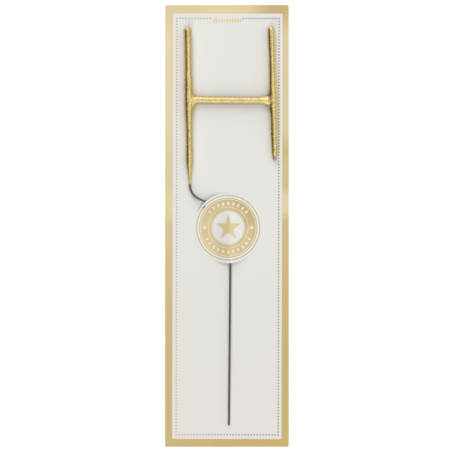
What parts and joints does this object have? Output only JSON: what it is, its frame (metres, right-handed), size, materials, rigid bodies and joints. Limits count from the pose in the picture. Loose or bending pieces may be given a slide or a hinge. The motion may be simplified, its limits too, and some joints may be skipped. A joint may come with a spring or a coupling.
{
  "type": "letter sparkler on backing card",
  "caption": "Gold-coated letter H sparkler on a bent steel wire handle, held to a tall foil-bordered card by a round seal.",
  "frame": {"origin": "middle of the backing card's underside", "axes": "+X across the card to the letter's right stem, +Y up the card to the letter's top, +Z out of the printed face"},
  "size_m": [0.07, 0.25, 0.0065],
  "materials": {
    "card_board": "matte",
    "card_foil": "satin",
    "steel_wire": "satin",
    "spark_mix": "matte",
    "gold_lacquer": "satin",
    "label_adhesive": "gloss",
    "label_paper": "satin",
    "label_foil": "satin"
  },
  "bodies": {
    "card": {"backing_card": "card_board", "card_foil_border": "card_foil"},
    "sparkler": {"handle_wire": "steel_wire", "right_stem_wire": "steel_wire", "crossbar_wire": "steel_wire", "spark_mix": "spark_mix", "gold_lacquer": "gold_lacquer"},
    "label": {"label_adhesive": "label_adhesive", "label_paper": "label_paper", "label_foil_star": "label_foil", "label_foil_toothed_ring": "label_foil", "label_foil_band": "label_foil", "label_foil_lines": "label_foil"}
  },
  "joints": [
    {"name": "sparkler_lift", "type": "slide", "parent": "card", "child": "sparkler", "axis": [0, 0, 1], "range_m": [0, 0.06]},
    {"name": "label_peel", "type": "hinge", "parent": "sparkler", "child": "label", "pos_m": [0.02016, -0.0012, 0.001], "axis": [0, 1, 0], "range_deg": [0, 120]}
  ]
}
